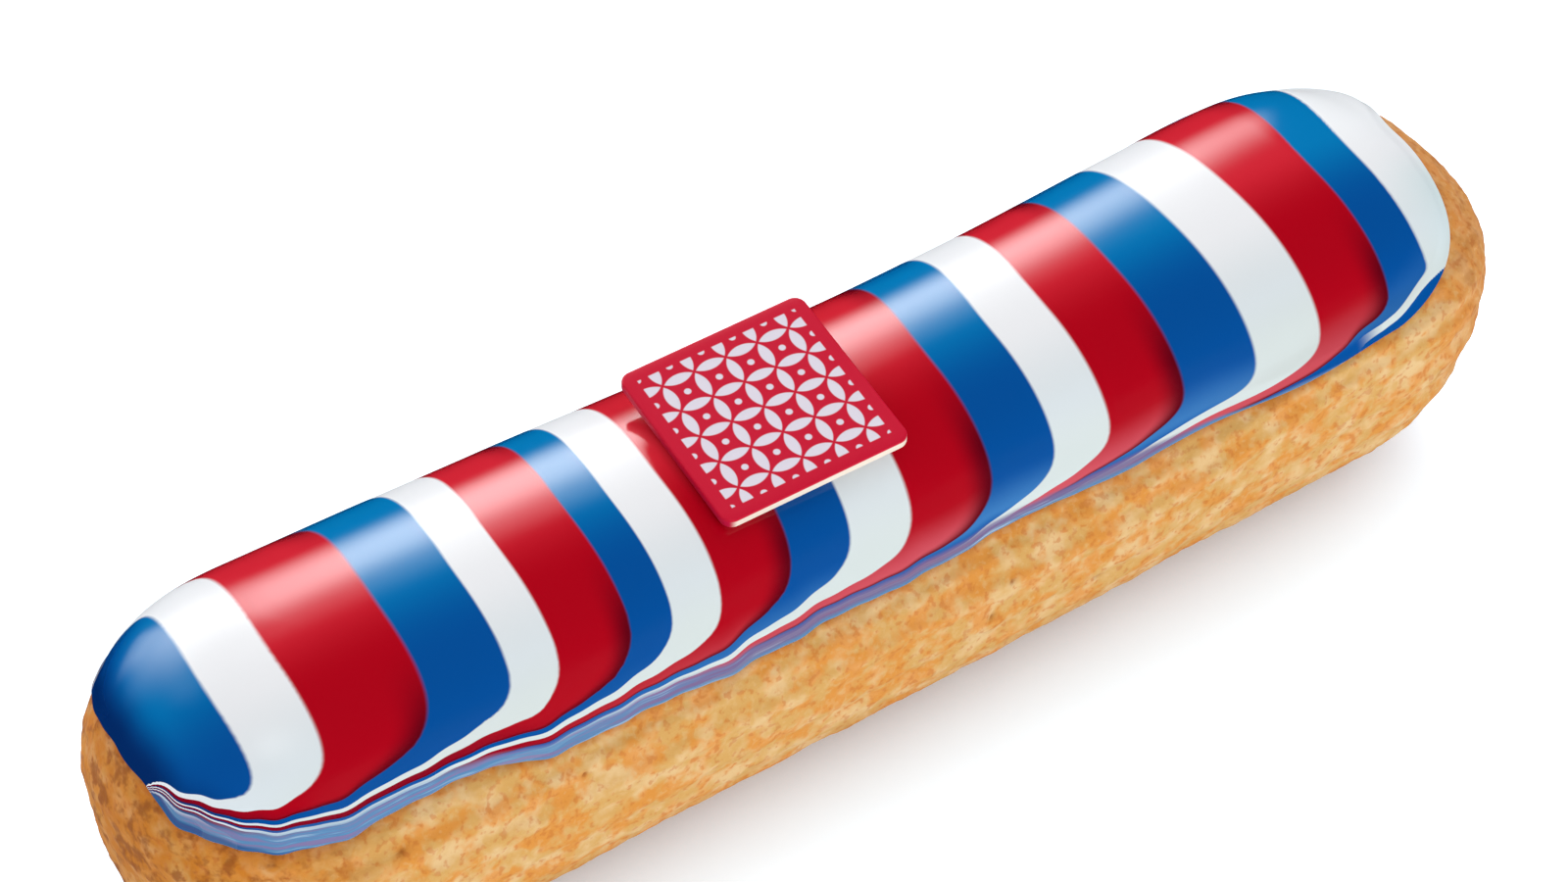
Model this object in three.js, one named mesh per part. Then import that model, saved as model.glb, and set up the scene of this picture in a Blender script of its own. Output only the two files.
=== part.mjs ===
// A striped eclair: a baked choux bun, an icing coat over its top and a square chocolate plaque.
// Millimetres and degrees, +Z up. X runs along the bun, -Y is its front,
// and the origin is on the table below the bun's middle.

import * as THREE from 'three';
import { ParametricGeometry } from 'three/addons/geometries/ParametricGeometry.js';
import { mergeVertices } from 'three/addons/utils/BufferGeometryUtils.js';

// The bun's length, width and bare height, and how far each rounded end reaches along X.
const bunLength = 150.4;
const bunWidth = 38;
const bunHeight = 33.9;
const leftEndReach = 19.4;
const rightEndReach = 19.0;

// The bun is widest at its equator, which rises towards the right end.
const equatorHeight = 18.8;
const equatorRise = 4.4;
const equatorRiseFrom = 20;

// The flat base cuts this share off the lower half, and shows as a foot below this angle.
const baseCut = 0.064;
const footAngle = -69;

// Superellipse exponents: 2 is an ellipse, more is boxier, less is more pointed.
const planRoundness = 2.39;
const lowerRoundness = { side: 2.25, left: 2.3, right: 2.08 };
const upperRoundness = { side: 1.6, left: 2.2, right: 2.35 };

// The waist: above the equator the eclair is plump near its ends and slim at the middle.
const endSwell = 0.03;
const waistDepth = 0.075;
const waistCentre = 8;
const waistReach = 40;
const waistFullAngle = 25;

// Piped ridges run along the bun and fade below the icing's rim. Low lumps lie across it.
// A lump pattern has so many waves in one trip round the bun and so many in one turn of the section.
const ridgeSpacing = 12;
const ridgeHeight = 0.008;
const ridgeFade = 7;
const lumpPatterns = [
  { height: 0.009, waves: 3, start: 0.4, turns: 2.2, tilt: 0.5 },
  { height: 0.0055, waves: 8, start: 1.9, turns: 3.7, tilt: -0.8 },
];

// The icing dome: its crown, its half-width against the bun's, and its roundness.
const icingHeight = 35.8;
const icingWidth = { side: 0.935, left: 0.945, right: 0.93 };
const icingRoundness = { side: 2.3, left: 2.7, right: 2.15 };
const icingNarrowing = 0.045; // lost from the side's width where the equator has risen

// Under the icing a small gap parts it from the bun. Its rim is a lip of this least thickness.
// Both are shares of the bun's radius.
const icingGap = 0.028;
const rimThickness = 0.028;
const rimBlend = 0.02;

// The rim's angle above the equator: it steps up near the left end, climbs round both tips,
// sags just before the right end, and waves all along. At the back the step is lower,
// and a greater spread keeps the climb closer to the tip.
const rimAngle = 20.4;
const rimStep = { from: -36, to: -49 };
const rimSides = {
  front: { step: 9, climb: { left: 5.2, right: 30 }, spread: { left: 10, right: 0.52 } },
  back: { step: 6, climb: { left: 8.2, right: 30 }, spread: { left: 7, right: 4 } },
};
const rimSag = { depth: 4.3, place: 49, reach: 11 };
const rimWaves = [
  { height: 0.9, waves: 6, start: -0.4 },
  { height: 0.7, waves: 16, start: 0.6 },
];

// The plaque: a thin square with round corners, leaning a little and pressed into the crown.
const plaqueSize = 19.8;
const plaqueThickness = 1.1;
const plaqueCorner = 1.2;
const plaqueBevel = 0.22;
const plaquePlace = { x: -6.5, y: -1.0, z: 35.65 };
const plaqueLean = 6.5;
const plaqueRoll = -2.8;
const plaqueTurn = -2.2;
const plaqueGap = 0.3;
const seatMargin = 4.6;

// Grid lines: round the bun, up its sides, and over the icing.
const straightSpans = 26;
const endSpans = 14;
const sideRows = 33;
const sideStep = 3;
const crownRows = 6;
const icingRowsInside = 8;
const icingRowsOutside = 13;

const aroundSpans = 2 * (straightSpans + endSpans);
const bunRows = 1 + sideRows + crownRows;
const icingRows = icingRowsInside + 1 + icingRowsOutside;
const shoulderAngle = footAngle + sideRows * sideStep;
const spineLeft = leftEndReach - bunLength / 2;
const spineRight = bunLength / 2 - rightEndReach;

const radians = THREE.MathUtils.degToRad;
const lerp = THREE.MathUtils.lerp;
const smoothstep = THREE.MathUtils.smoothstep;
const clamp = THREE.MathUtils.clamp;

function signedPower(value, power) {
  return Math.sign(value) * Math.abs(value) ** power;
}

// Distance along an angle from the centre of a superellipse to its edge, given its half-axes.
function superellipseRadius(angle, roundness, wide = 1, tall = 1) {
  const across = Math.abs(Math.cos(angle)) / wide;
  const up = Math.abs(Math.sin(angle)) / tall;
  return (across ** roundness + up ** roundness) ** (-1 / roundness);
}

function smoothMaximum(a, b, blend) {
  return (a + b + Math.sqrt((a - b) ** 2 + blend ** 2)) / 2;
}

// Where the outline has got to after a share u of one trip round the bun: along the front,
// round the right end, back along the far side and round the left end.
function stationAt(u) {
  const trip = (u * aroundSpans) % aroundSpans;
  const halfTrip = straightSpans + endSpans;
  const homeward = trip >= halfTrip;
  const step = homeward ? trip - halfTrip : trip;
  const onEnd = step > straightSpans;
  const along = Math.min(step / straightSpans, 1);
  const turn = onEnd ? (180 * (step - straightSpans)) / endSpans : 0;
  const heading = radians(turn - 90 + (homeward ? 180 : 0));
  const spineX = homeward ? lerp(spineRight, spineLeft, along) : lerp(spineLeft, spineRight, along);
  const endReach = homeward ? leftEndReach : rightEndReach;
  const outward = new THREE.Vector2(
    onEnd ? endReach * signedPower(Math.cos(heading), 2 / planRoundness) : 0,
    (bunWidth / 2) * signedPower(Math.sin(heading), 2 / planRoundness),
  );
  const endShare = Math.cos(heading) ** 2;
  const end = homeward ? 'left' : 'right';
  const side = outward.y > 0 ? 'back' : 'front';
  const climb = smoothstep(spineX, equatorRiseFrom, spineRight);
  const waist = Math.exp(-(((spineX - waistCentre) / waistReach) ** 2));
  return {
    u,
    spineX,
    outward,
    end,
    side,
    endShare,
    climb,
    equator: equatorHeight + equatorRise * climb,
    plump: 1 + endSwell - waistDepth * waist,
  };
}

// A value that changes from the bun's side to one of its ends.
function towardsEnd(values, station) {
  return lerp(values.side, values[station.end], station.endShare);
}

function rimAngleAt(station) {
  const { u, spineX, end, side, endShare } = station;
  const { step, climb, spread } = rimSides[side];
  const trip = 2 * Math.PI * u;
  const stepUp = step * (1 - smoothstep(spineX, rimStep.to, rimStep.from));
  const sag = rimSag.depth * Math.exp(-(((spineX - rimSag.place) / rimSag.reach) ** 2));
  let angle = rimAngle + stepUp - sag + climb[end] * endShare ** spread[end];
  for (const { height, waves, start } of rimWaves) {
    angle += height * Math.sin(waves * trip + start);
  }
  return radians(angle);
}

// Low lumps that fade out at the crown and the base.
function lumpsAt(station, angle) {
  const trip = 2 * Math.PI * station.u;
  let sum = 0;
  for (const { height, waves, start, turns, tilt } of lumpPatterns) {
    sum += height * Math.sin(waves * trip + start) * Math.cos(turns * angle + tilt);
  }
  return sum * Math.cos(angle);
}

// The bun's radius in a plane where its half-width and the height of each half are all 1.
function bunRadius(station, angle) {
  const roundness = towardsEnd(angle < 0 ? lowerRoundness : upperRoundness, station);
  return superellipseRadius(angle, roundness) + lumpsAt(station, angle);
}

function icingRadius(station, angle) {
  const tall = (icingHeight - station.equator) / (bunHeight - station.equator);
  const sideWidth = icingWidth.side - icingNarrowing * station.climb;
  const wide = lerp(sideWidth, icingWidth[station.end], station.endShare);
  const dome = superellipseRadius(angle, towardsEnd(icingRoundness, station), wide, tall);
  const lip = bunRadius(station, angle) + icingGap + rimThickness;
  return smoothMaximum(dome, lip, rimBlend);
}

// From a radius and an angle in that plane to a point in space.
function placePoint(station, angle, radius, target) {
  const across = radius * Math.cos(angle);
  const up = radius * Math.sin(angle);
  const upper = (bunHeight - station.equator) * station.plump;
  const lower = station.equator / (1 - baseCut);
  const widen = lerp(1, station.plump, smoothstep(angle, 0, radians(waistFullAngle)));
  target.x = station.spineX + station.outward.x * across;
  target.y = station.outward.y * across * widen;
  target.z = Math.max(0, station.equator + up * (angle < 0 ? lower : upper));
}

// A closed skin from a sheet that wraps round u and shrinks to a line at both ends of v.
function closedSkin(pointAt, around, rows) {
  const sheet = new ParametricGeometry(pointAt, around, rows);
  sheet.deleteAttribute('normal');
  sheet.deleteAttribute('uv');
  const skin = mergeVertices(sheet);
  const corners = skin.index.array;
  const kept = [];
  for (let i = 0; i < corners.length; i += 3) {
    const [a, b, c] = corners.slice(i, i + 3);
    if (a !== b && b !== c && c !== a) kept.push(a, b, c);
  }
  skin.setIndex(kept);
  skin.computeVertexNormals();
  return skin;
}

// The bun's rows: the flat base, ridged sides from foot to shoulder, and a plain crown.
function bunRowAngle(row) {
  if (row < 1) return radians(lerp(-90, footAngle, row));
  if (row < 1 + sideRows) return radians(footAngle + (row - 1) * sideStep);
  return radians(lerp(shoulderAngle, 90, (row - 1 - sideRows) / crownRows));
}

function bunPoint(u, v, target) {
  const station = stationAt(u);
  const angle = bunRowAngle(v * bunRows);
  const rim = rimAngleAt(station);
  const shown = smoothstep(rim - angle, 0, radians(ridgeFade)) * smoothstep(angle, radians(footAngle), 0);
  const ridge = Math.cos((2 * Math.PI * angle) / radians(ridgeSpacing)) * ridgeHeight;
  placePoint(station, angle, bunRadius(station, angle) + ridge * shown, target);
}

const plaqueFrame = new THREE.Matrix4().compose(
  new THREE.Vector3(plaquePlace.x, plaquePlace.y, plaquePlace.z),
  new THREE.Quaternion().setFromEuler(
    new THREE.Euler(radians(plaqueLean), radians(plaqueRoll), radians(plaqueTurn), 'ZXY'),
  ),
  new THREE.Vector3(1, 1, 1),
);
const plaqueFrameInverse = plaqueFrame.clone().invert();

// Icing below the plaque is pressed down until it clears the plaque's underside.
function pressSeat(point) {
  const local = point.clone().applyMatrix4(plaqueFrameInverse);
  const reach = plaqueSize / 2 + seatMargin;
  if (Math.max(Math.abs(local.x), Math.abs(local.y)) > reach) return;
  local.z = Math.min(local.z, -plaqueGap);
  point.copy(local.applyMatrix4(plaqueFrame));
}

// The icing's rows go down its inside from crown to rim, cross the rim,
// then go up its outside to the crown.
function icingPoint(u, v, target) {
  const station = stationAt(u);
  const row = v * icingRows;
  const outside = row > icingRowsInside + 0.5;
  const climbed = outside ? (row - icingRowsInside - 1) / icingRowsOutside : 1 - row / icingRowsInside;
  const angle = lerp(rimAngleAt(station), Math.PI / 2, clamp(climbed, 0, 1));
  const radius = outside ? icingRadius(station, angle) : bunRadius(station, angle) + icingGap;
  placePoint(station, angle, radius, target);
  if (outside) pressSeat(target);
}

function plaqueGeometry() {
  const half = plaqueSize / 2 - plaqueBevel;
  const inset = half - plaqueCorner;
  const outline = new THREE.Shape();
  outline.absarc(inset, inset, plaqueCorner, 0, Math.PI / 2);
  outline.absarc(-inset, inset, plaqueCorner, Math.PI / 2, Math.PI);
  outline.absarc(-inset, -inset, plaqueCorner, Math.PI, 1.5 * Math.PI);
  outline.absarc(inset, -inset, plaqueCorner, 1.5 * Math.PI, 2 * Math.PI);
  const slab = new THREE.ExtrudeGeometry(outline, {
    depth: plaqueThickness - 2 * plaqueBevel,
    bevelThickness: plaqueBevel,
    bevelSize: plaqueBevel,
    bevelSegments: 2,
    curveSegments: 6,
  });
  return slab.translate(0, 0, plaqueBevel);
}

function namedMesh(name, geometry, color, roughness) {
  const material = new THREE.MeshStandardMaterial({ color, roughness, metalness: 0 });
  const mesh = new THREE.Mesh(geometry, material);
  mesh.name = name;
  return mesh;
}

const choux = namedMesh('choux', closedSkin(bunPoint, aroundSpans, bunRows), 0xdfa24f, 0.8);
const icing = namedMesh('icing', closedSkin(icingPoint, aroundSpans, icingRows), 0x0b5aa8, 0.15);
const plaque = namedMesh('plaque', plaqueGeometry(), 0xc80f2e, 0.4);
plaque.applyMatrix4(plaqueFrame);

const eclair = new THREE.Group();
eclair.name = 'eclair';
eclair.add(choux, icing, plaque);

export default eclair;
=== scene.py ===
import math

import bmesh
import bpy
import numpy as np
from mathutils import Euler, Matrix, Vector


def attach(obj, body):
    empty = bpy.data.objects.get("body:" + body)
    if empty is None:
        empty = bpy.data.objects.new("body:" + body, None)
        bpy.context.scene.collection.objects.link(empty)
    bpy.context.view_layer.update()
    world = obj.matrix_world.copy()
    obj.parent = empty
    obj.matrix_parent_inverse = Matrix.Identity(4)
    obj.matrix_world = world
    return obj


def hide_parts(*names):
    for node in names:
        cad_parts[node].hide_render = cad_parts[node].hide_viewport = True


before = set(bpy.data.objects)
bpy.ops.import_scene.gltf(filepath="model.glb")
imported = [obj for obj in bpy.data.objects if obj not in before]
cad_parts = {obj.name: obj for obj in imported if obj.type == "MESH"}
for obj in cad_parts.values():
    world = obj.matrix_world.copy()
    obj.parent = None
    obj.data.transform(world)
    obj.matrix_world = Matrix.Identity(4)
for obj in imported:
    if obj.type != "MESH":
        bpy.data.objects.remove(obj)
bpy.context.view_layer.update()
mm = 0.001  # shapes are worked out in millimetres, the scene is in metres
mergeReach = 0.002  # mm, points closer than this become one
latticeSize = 256  # cells before the noise repeats
noiseGain = 1.6  # brings the noise to about -1 to 1


def ramp(value, low, high):
    # smooth step from 0 at low to 1 at high, level at both
    share = np.clip((value - low) / (high - low), 0, 1)
    return share * share * (3 - 2 * share)


def blend(first, second, share):
    # first at share 0, second at share 1
    return first + (second - first) * share


def signedPower(value, power):
    # power of the size, with the sign kept
    return np.sign(value) * np.abs(value) ** power


def throughKnots(value, knots):
    # cubic curve through (place, height) knots, each slope taken from the neighbouring knots
    places, heights = np.array(knots).T
    slopes = np.gradient(heights, places)
    left = np.clip(np.searchsorted(places, value) - 1, 0, len(places) - 2)
    width = places[left + 1] - places[left]
    t = np.clip((value - places[left]) / width, 0, 1)
    start = heights[left] * (1 + 2 * t) + slopes[left] * width * t
    finish = heights[left + 1] * (3 - 2 * t) - slopes[left + 1] * width * (1 - t)
    return start * (1 - t) ** 2 + finish * t ** 2


def grainNoise(points, seed):
    # gradient noise: random directions on a unit lattice, faded into one another
    dice = np.random.default_rng(seed)
    order = dice.permutation(latticeSize)
    leans = dice.normal(size=(latticeSize, 3))
    leans /= np.linalg.norm(leans, axis=1, keepdims=True)
    cell = np.floor(points).astype(int)
    part = points - cell
    fade = part ** 3 * (part * (part * 6 - 15) + 10)
    total = 0
    for corner in np.ndindex(2, 2, 2):
        pick = 0
        for axis in range(3):
            pick = order[(pick + cell[..., axis] + corner[axis]) % latticeSize]
        weight = np.prod(np.where(np.array(corner) == 1, fade, 1 - fade), axis=-1)
        total = total + weight * np.sum(leans[pick] * (part - corner), axis=-1)
    return total * noiseGain


def ovalRadius(angle, roundness, wide=1.0, tall=1.0):
    # superellipse in polar form
    across = np.abs(np.cos(angle)) / wide
    rise = np.abs(np.sin(angle)) / tall
    return (across ** roundness + rise ** roundness) ** (-1 / roundness)


def outwardNormals(points):
    # normal of a grid whose columns close into a ring: step round crossed with step up
    around = np.roll(points, -1, axis=1) - np.roll(points, 1, axis=1)
    upward = np.gradient(points, axis=0)
    normals = np.cross(around, upward)
    return normals / np.maximum(np.linalg.norm(normals, axis=-1, keepdims=True), 1e-9)


def climbLength(points):
    # length up each column from the first row
    steps = np.linalg.norm(np.diff(points, axis=0), axis=-1)
    return np.concatenate([np.zeros((1, points.shape[1])), np.cumsum(steps, axis=0)])


def ringMesh(name, points, attributes):
    # rows of closed rings to a mesh; points that meet on the spine or at a pole are merged
    rows, columns = points.shape[:2]
    index = np.arange(rows * columns).reshape(rows, columns)
    beside = np.roll(index, -1, axis=1)
    quads = np.stack([index[:-1], beside[:-1], beside[1:], index[1:]], axis=-1).reshape(-1, 4)
    mesh = bpy.data.meshes.new(name)
    mesh.from_pydata((points.reshape(-1, 3) * mm).tolist(), [], quads.tolist())
    for label, values in attributes.items():
        isVector = values.ndim == 3
        layer = mesh.attributes.new(label, "FLOAT_VECTOR" if isVector else "FLOAT", "POINT")
        layer.data.foreach_set("vector" if isVector else "value", values.astype(np.float32).reshape(-1))
    work = bmesh.new()
    work.from_mesh(mesh)
    bmesh.ops.remove_doubles(work, verts=work.verts, dist=mergeReach * mm)
    work.to_mesh(mesh)
    work.free()
    mesh.polygons.foreach_set("use_smooth", np.ones(len(mesh.polygons), dtype=bool))
    mesh.update()
    piece = bpy.data.objects.new(name, mesh)
    bpy.context.collection.objects.link(piece)
    return piece


class Wire:
    # a shader socket that takes part in Python expressions
    def __init__(self, tree, socket):
        self.tree = tree
        self.socket = socket

    def node(self, kind, settings, inputs, output=0):
        made = self.tree.nodes.new(kind)
        for label, value in settings.items():
            setattr(made, label, value)
        for label, value in inputs.items():
            if isinstance(value, Wire):
                self.tree.links.new(value.socket, made.inputs[label])
            else:
                made.inputs[label].default_value = value
        return Wire(self.tree, made.outputs[output])

    def math(self, operation, first, second):
        return self.node("ShaderNodeMath", {"operation": operation}, {0: first, 1: second})

    def __add__(self, other):
        return self.math("ADD", self, other)

    def __radd__(self, other):
        return self.math("ADD", other, self)

    def __sub__(self, other):
        return self.math("SUBTRACT", self, other)

    def __rsub__(self, other):
        return self.math("SUBTRACT", other, self)

    def __mul__(self, other):
        return self.math("MULTIPLY", self, other)

    def __rmul__(self, other):
        return self.math("MULTIPLY", other, self)

    def __mod__(self, other):
        return self.math("FLOORED_MODULO", self, other)

    def attribute(self, name, output="Fac"):
        # what the mesh's points carry
        return self.node("ShaderNodeAttribute", {"attribute_name": name}, {}, output)

    def placeInMm(self):
        # place in the piece's own frame
        return self.node("ShaderNodeTexCoord", {}, {}, "Object").stretched((mm, mm, mm))

    def axis(self, label):
        # X, Y or Z of this vector
        return self.node("ShaderNodeSeparateXYZ", {}, {"Vector": self}, label)

    def ramp(self, low, high):
        # smooth step between two values
        settings = {"interpolation_type": "SMOOTHSTEP"}
        return self.node("ShaderNodeMapRange", settings, {"Value": self, "From Min": low, "From Max": high})

    def tint(self, first, second):
        # colour that goes from first to second as this value goes from 0 to 1
        return self.node("ShaderNodeMix", {"data_type": "RGBA"}, {0: self, 6: first, 7: second}, 2)

    def stretched(self, sizes):
        # vector divided by a feature's size along each axis
        factors = tuple(1 / size for size in sizes)
        return self.node("ShaderNodeVectorMath", {"operation": "MULTIPLY"}, {0: self, 1: factors})

    def shifted(self, offset):
        return self.node("ShaderNodeVectorMath", {"operation": "ADD"}, {0: self, 1: offset})

    def noise(self, detail, roughness):
        # cloudy noise of this vector, 0 to 1
        inputs = {"Vector": self, "Scale": 1.0, "Detail": detail, "Roughness": roughness}
        return self.node("ShaderNodeTexNoise", {"noise_dimensions": "3D"}, inputs)


def paint(red, green, blue):
    # screen colour, 0 to 255, to the linear colour that a shader takes
    channels = np.array([red, green, blue]) / 255
    linear = np.where(channels <= 0.04045, channels / 12.92, ((channels + 0.055) / 1.055) ** 2.4)
    return (*linear.tolist(), 1.0)


def newMaterial(name):
    # material with a plain surface shader; gives the material, the shader and a wire to start from
    material = bpy.data.materials.new(name)
    material.use_nodes = True
    tree = material.node_tree
    surface = tree.nodes["Principled BSDF"]
    return material, surface, Wire(tree, None)


def joinTo(surface, label, wire):
    wire.tree.links.new(wire.socket, surface.inputs[label])


def finishPiece(piece, material, node):
    # in the shared frame the piece rides on the root body and stands in for its node
    piece.data.materials.append(material)
    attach(piece, "root")
    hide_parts(node)


choux = {
    # form, lengths in mm
    "length": 150.4, "width": 38.0, "height": 33.9,
    "leftReach": 19.4, "rightReach": 19.0,  # how far the round ends stand past the spine
    "equator": 18.8, "equatorRise": 4.4, "riseFrom": 20.0,  # the widest level climbs to the right
    "baseCut": 0.064,  # share of the lower half that the flat base takes off
    "footAngle": -69.0,  # degrees from the widest level down to where the side starts
    "planRoundness": 2.39,
    "lowerRoundness": (2.25, 2.3, 2.08),  # side, left end, right end
    "upperRoundness": (1.6, 2.2, 2.35),
    "endSwell": 0.03, "waistDepth": 0.075,  # shares of the upper half
    "waistCentre": 8.0, "waistReach": 40.0, "waistAngle": 25.0,
    "ridgeSpacing": 12.0, "ridgeFade": 7.0,  # degrees up the section
    "ridgeHeight": 0.008, "ridgeAtTips": 0.3,  # share of the radius, and what the tips keep of it
    # slow lumps: height, waves, start, turns, tilt
    "slowLumps": ((0.009, 3, 0.4, 2.2, 0.5), (0.0055, 8, 1.9, 3.7, -0.8)),
    "straightSpans": 26, "endSpans": 14,  # of each side and each end, out of 80 spans round
    "columns": 800, "baseRows": 4, "sideRows": 92, "crownRows": 8,
    "underIcing": 8.0,  # degrees that the fine rows go on past the icing's rim
    # relief, in mm
    "wrinkleSizes": (6.0, 6.0, 1.9), "wrinkleHeight": 0.12, "wrinkleSeed": 3,  # round, round, up
    "lumpSize": 6.5, "lumpHeight": 0.12, "lumpSeed": 5,
    "crumbSize": 1.2, "crumbHeight": 0.13, "crumbSeed": 8,
    "pitCount": 30, "pitRadius": (0.25, 0.55), "pitDepth": 0.35, "pitSeed": 21,
    "pitMargin": (8, 16),  # rows without pits at the foot and at the top
    "footFade": 9.0,  # degrees above the foot where the relief comes in
    # colours
    "golden": paint(202, 154, 86), "orange": paint(210, 128, 38), "cream": paint(214, 176, 123),
    "redBrown": paint(184, 100, 38), "darkBrown": paint(138, 70, 16),
    "leftEnd": paint(192, 112, 20), "rightEnd": paint(200, 129, 62),
    # noises, each about 0.5, give or take 0.12: sizes in mm, then detail and roughness
    "grainSizes": (0.8, 0.8, 0.8), "mottleSizes": (2.0, 2.0, 1.6),
    "plainNoise": (2.0, 0.5), "mottleNoise": (3.0, 0.55),
    # blotches: offset and sizes of a broad and a fine noise, and the sums where they start and are full
    "orangeNoises": (((0.0, 0.0, 0.0), (4.2, 4.2, 3.2)), ((31.0, 17.0, 9.0), (2.4, 2.4, 2.2))),
    "creamNoises": (((-13.0, 41.0, 23.0), (4.0, 4.0, 3.2)), ((57.0, -29.0, 5.0), (2.3, 2.3, 2.1))),
    "orangeCut": (0.65, 0.85), "creamCut": (0.65, 0.86),
    "blotchWeights": (0.5, 0.7, 0.25),  # broad, fine, grain
    "orangeStrength": 0.7,
    # where the ends and the foot start to brown, and where the painted shade under the icing's rim starts,
    # and where each is full, in mm
    "leftAlong": (-55.0, -69.0), "rightAlong": (58.0, 70.0),
    "footHeight": (10.0, 3.0), "rimShadeHeight": (1.4, 0.2),
    "leftStrength": (0.45, 0.5), "leftCut": (0.62, 0.38),  # all over and in blotches
    "rightStrength": 0.7, "footStrength": 0.6, "rimShadeStrength": 0.55,
    "edgeMottle": (0.3, 1.2),  # even share and mottled share
    "speckCut": (0.54, 0.68), "speckStrength": 0.45,
    "paleSpeckCut": (0.45, 0.33), "paleSpeckStrength": 0.25,
    "endMottleWeights": (0.75, 0.25), "endMottleCut": (0.47, 0.63),
    "endMottleStrength": (0.7, 0.25),  # left end, right end
    "pitStrength": 0.7,
    "roughness": 0.8, "gloss": 0.2, "bumpStrength": 0.6, "bumpDepth": 0.2,
}
lapRadius = 52.5  # of a circle about as long as the way round the bun
spineLeft = choux["leftReach"] - choux["length"] / 2
spineRight = choux["length"] / 2 - choux["rightReach"]


def stationsRound(columns):
    # a trip round the bun: front from left to right, right end, back, left end.
    # On an end the outline is a superellipse of the end's reach and half the width.
    trip = np.arange(columns) / columns
    half = choux["straightSpans"] + choux["endSpans"]
    spans = trip * 2 * half
    homeward = spans >= half
    step = np.where(homeward, spans - half, spans)
    along = np.minimum(step / choux["straightSpans"], 1)
    turn = np.maximum(step - choux["straightSpans"], 0) / choux["endSpans"] * np.pi
    heading = turn - np.pi / 2 + np.where(homeward, np.pi, 0)
    spineX = np.where(homeward, blend(spineRight, spineLeft, along), blend(spineLeft, spineRight, along))
    reach = np.where(homeward, choux["leftReach"], choux["rightReach"])
    power = 2 / choux["planRoundness"]
    rightTip = (choux["straightSpans"] + choux["endSpans"] / 2) / (2 * half)
    waist = np.exp(-((spineX - choux["waistCentre"]) / choux["waistReach"]) ** 2)
    station = {
        "trip": trip,
        "left": homeward,
        "spineX": spineX,
        "outX": np.where(turn > 0, reach * signedPower(np.cos(heading), power), 0),
        "outY": choux["width"] / 2 * signedPower(np.sin(heading), power),
        "endShare": np.cos(heading) ** 2,
        "climb": ramp(spineX, choux["riseFrom"], spineRight),
        "plump": 1 + choux["endSwell"] - choux["waistDepth"] * waist,
        # 0 at the left tip, 1 at the right tip, on both sides
        "sweep": 1 - 2 * np.abs(np.mod(trip - rightTip + 0.5, 1) - 0.5),
    }
    station["equator"] = choux["equator"] + choux["equatorRise"] * station["climb"]
    return station


def endwise(values, station):
    # side value on the straight, left or right value towards the tips
    return blend(values[0], np.where(station["left"], values[1], values[2]), station["endShare"])


def bunRadius(station, angle):
    # oval section, of another roundness above the widest level than below, with slow lumps round the bun
    lower = endwise(choux["lowerRoundness"], station)
    upper = endwise(choux["upperRoundness"], station)
    lump = 0
    for height, waves, start, turns, tilt in choux["slowLumps"]:
        swing = np.sin(2 * np.pi * waves * station["trip"] + start)
        lump = lump + height * swing * np.cos(turns * angle + tilt)
    return ovalRadius(angle, np.where(angle < 0, lower, upper)) + lump * np.cos(angle)


def sectionPoints(station, angle, radius):
    # section angle and radius to x, y, z: outwards from the spine and up or down from the equator
    across = radius * np.cos(angle)
    rise = radius * np.sin(angle)
    upper = (choux["height"] - station["equator"]) * station["plump"]
    lower = station["equator"] / (1 - choux["baseCut"])
    widen = blend(1, station["plump"], ramp(angle, 0, np.radians(choux["waistAngle"])))
    x = station["spineX"] + station["outX"] * across
    y = station["outY"] * across * widen
    z = np.maximum(0, station["equator"] + rise * np.where(angle < 0, lower, upper))
    return np.stack([x, y, z], axis=-1)


def lapPlace(station, height):
    # a place that runs on round the bun without a seam: a circle and a height up the side
    lap = 2 * np.pi * station["trip"] + 0 * height
    return np.stack([lapRadius * np.cos(lap), lapRadius * np.sin(lap), height], axis=-1)


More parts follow.
